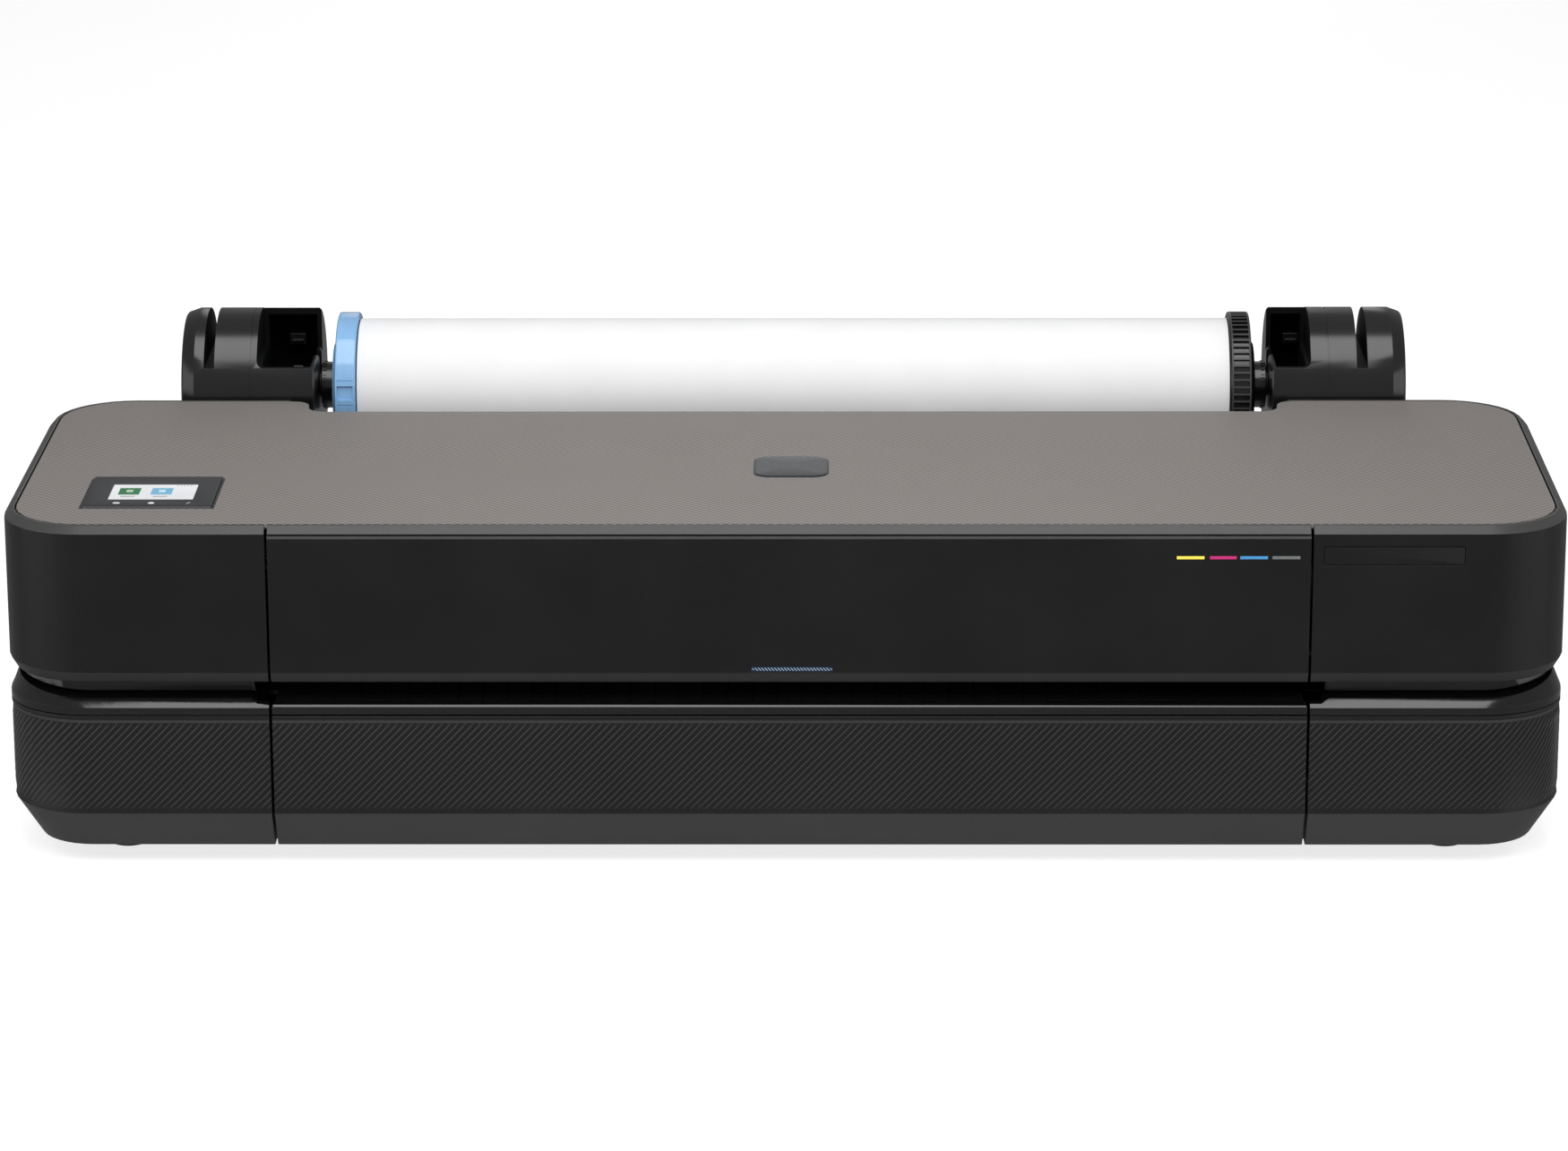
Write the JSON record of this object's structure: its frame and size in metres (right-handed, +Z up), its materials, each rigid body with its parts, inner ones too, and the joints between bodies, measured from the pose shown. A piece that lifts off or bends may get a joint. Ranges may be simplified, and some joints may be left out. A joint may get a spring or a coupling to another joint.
{
  "type": "large format plotter",
  "caption": "Desktop large format inkjet plotter with a roll of paper on a spindle between rear holders, a hinged front window, a tilting touch panel and a moving carriage.",
  "frame": {"origin": "on the table under the middle of the whole machine", "axes": "+X to the right as seen from the front, +Y to the back where the roll is, +Z up; the front faces -Y"},
  "size_m": [1.013, 0.44, 0.285],
  "materials": {
    "black_satin": "satin black moulded plastic",
    "black_fine": "near-black plastic with a fine grain",
    "black_gloss": "polished piano black",
    "cover_grey": "matt grey-brown with a fine woven texture",
    "panel_grey": "satin dark grey",
    "screen_glass": "lit touch screen",
    "light_bar": "clear light guide that glows blue-white",
    "hub_blue": "light blue moulded plastic",
    "paper_white": "uncoated white paper",
    "steel": "ground steel",
    "sheet_steel": "zinc plated sheet steel",
    "power_case": "folded sheet case",
    "rubber": "matt black rubber",
    "gear_white": "natural moulded plastic",
    "ink_yellow": "satin yellow",
    "ink_magenta": "satin magenta",
    "ink_blue": "satin blue",
    "ink_grey": "satin dark grey"
  },
  "bodies": {
    "root": {"base_pan": "sheet_steel", "carriage_belt": "rubber", "carriage_motor": "sheet_steel", "carriage_rod": "steel", "chassis_beam": "sheet_steel", "feed_motor": "sheet_steel", "foot_front_left": "rubber", "foot_front_right": "rubber", "foot_rear_left": "rubber", "foot_rear_right": "rubber", "ink_bay": "black_satin", "left_ledge": "black_gloss", "left_roll_holder": "black_satin", "lower_front_panel": "black_satin", "lower_left_cover": "black_satin", "lower_right_cover": "black_satin", "middle_ledge": "black_gloss", "panel_tray": "panel_grey", "pinch_frame": "sheet_steel", "platen": "black_satin", "power_inlet": "black_satin", "power_supply": "power_case", "rear_cover": "black_satin", "rear_paper_guide": "black_satin", "right_ledge": "black_gloss", "right_roll_holder": "black_satin", "top_cover": "cover_grey", "upper_left_corner_cover": "black_fine", "upper_left_side_cover": "black_fine", "upper_right_corner_cover": "black_fine", "upper_right_side_cover": "black_fine", "window_rail": "black_fine"},
    "window": {"front_window": "black_fine", "status_light_bar": "light_bar"},
    "panel": {"control_panel": "panel_grey", "touch_screen": "screen_glass"},
    "spindle_carrier": {"spindle_bush_left": "gear_white", "spindle_bush_right": "gear_white"},
    "spindle": {"spindle_shaft": "black_satin", "spindle_gear": "gear_white", "blue_hub": "hub_blue", "black_hub": "black_satin", "paper_roll": "paper_white"},
    "roll_drive": {"roll_drive_gear": "gear_white"},
    "carriage_group": {"carriage": "black_satin", "print_head": "steel"},
    "belt_drive_pulley": {"drive_pulley": "sheet_steel"},
    "belt_idler_pulley": {"idler_pulley": "sheet_steel"},
    "feed": {"feed_roller": "rubber", "feed_gear": "gear_white"},
    "feed_drive": {"feed_pinion": "gear_white"},
    "service": {"service_station": "gear_white"},
    "pinch_1": {"pinch_roller_1": "rubber"},
    "pinch_2": {"pinch_roller_2": "rubber"},
    "pinch_3": {"pinch_roller_3": "rubber"},
    "pinch_4": {"pinch_roller_4": "rubber"},
    "cartridge_yellow": {"ink_cartridge_yellow": "ink_yellow"},
    "cartridge_magenta": {"ink_cartridge_magenta": "ink_magenta"},
    "cartridge_blue": {"ink_cartridge_blue": "ink_blue"},
    "cartridge_grey": {"ink_cartridge_grey": "ink_grey"}
  },
  "joints": [
    {"name": "window_hinge", "type": "hinge", "parent": "root", "child": "window", "pos_m": [0.003, -0.216, 0.226], "axis": [-1, 0, 0], "range_deg": [0, 85]},
    {"name": "panel_tilt", "type": "hinge", "parent": "root", "child": "panel", "pos_m": [-0.413, -0.1705, 0.2331], "axis": [1, 0, 0], "range_deg": [0, 35]},
    {"name": "spindle_lift", "type": "slide", "parent": "root", "child": "spindle_carrier", "axis": [0, 0, 1], "range_m": [0, 0.06]},
    {"name": "roll_spin", "type": "hinge", "parent": "spindle_carrier", "child": "spindle", "pos_m": [0.003, 0.1655, 0.2305], "axis": [1, 0, 0], "continuous": true},
    {"name": "roll_drive_spin", "type": "hinge", "parent": "root", "child": "roll_drive", "pos_m": [0.003, 0.1655, 0.208], "axis": [1, 0, 0], "continuous": true},
    {"name": "carriage_travel", "type": "slide", "parent": "root", "child": "carriage_group", "axis": [-1, 0, 0], "range_m": [0, 0.78]},
    {"name": "drive_pulley_spin", "type": "hinge", "parent": "root", "child": "belt_drive_pulley", "pos_m": [0.46, -0.032, 0.19], "axis": [0, 1, 0], "range_deg": [0, 4970]},
    {"name": "idler_pulley_spin", "type": "hinge", "parent": "root", "child": "belt_idler_pulley", "pos_m": [-0.46, -0.032, 0.19], "axis": [0, 1, 0], "range_deg": [0, 4970]},
    {"name": "feed_spin", "type": "hinge", "parent": "root", "child": "feed", "pos_m": [0.003, -0.022, 0.115], "axis": [1, 0, 0], "continuous": true},
    {"name": "feed_pinion_spin", "type": "hinge", "parent": "root", "child": "feed_drive", "pos_m": [-0.363, -0.022, 0.0875], "axis": [1, 0, 0], "continuous": true},
    {"name": "pinch_1_spin", "type": "hinge", "parent": "root", "child": "pinch_1", "pos_m": [-0.237, -0.022, 0.1313], "axis": [1, 0, 0], "continuous": true},
    {"name": "pinch_2_spin", "type": "hinge", "parent": "root", "child": "pinch_2", "pos_m": [-0.077, -0.022, 0.1313], "axis": [1, 0, 0], "continuous": true},
    {"name": "pinch_3_spin", "type": "hinge", "parent": "root", "child": "pinch_3", "pos_m": [0.083, -0.022, 0.1313], "axis": [1, 0, 0], "continuous": true},
    {"name": "pinch_4_spin", "type": "hinge", "parent": "root", "child": "pinch_4", "pos_m": [0.243, -0.022, 0.1313], "axis": [1, 0, 0], "continuous": true},
    {"name": "service_lift", "type": "slide", "parent": "root", "child": "service", "axis": [0, 0, 1], "range_m": [0, 0.005]},
    {"name": "cartridge_yellow_lift", "type": "slide", "parent": "root", "child": "cartridge_yellow", "axis": [0, 0, 1], "range_m": [0, 0.022]},
    {"name": "cartridge_magenta_lift", "type": "slide", "parent": "root", "child": "cartridge_magenta", "axis": [0, 0, 1], "range_m": [0, 0.022]},
    {"name": "cartridge_blue_lift", "type": "slide", "parent": "root", "child": "cartridge_blue", "axis": [0, 0, 1], "range_m": [0, 0.022]},
    {"name": "cartridge_grey_lift", "type": "slide", "parent": "root", "child": "cartridge_grey", "axis": [0, 0, 1], "range_m": [0, 0.022]}
  ],
  "couplings": [
    {"joint": "roll_drive_spin", "follows": "roll_spin", "ratio": -1.25},
    {"joint": "drive_pulley_spin", "follows": "carriage_travel", "rad_per_m": 111.11},
    {"joint": "idler_pulley_spin", "follows": "carriage_travel", "rad_per_m": 111.11},
    {"joint": "feed_pinion_spin", "follows": "feed_spin", "ratio": -2.6667},
    {"joint": "pinch_1_spin", "follows": "feed_spin", "ratio": -2.2},
    {"joint": "pinch_2_spin", "follows": "feed_spin", "ratio": -2.2},
    {"joint": "pinch_3_spin", "follows": "feed_spin", "ratio": -2.2},
    {"joint": "pinch_4_spin", "follows": "feed_spin", "ratio": -2.2}
  ]
}
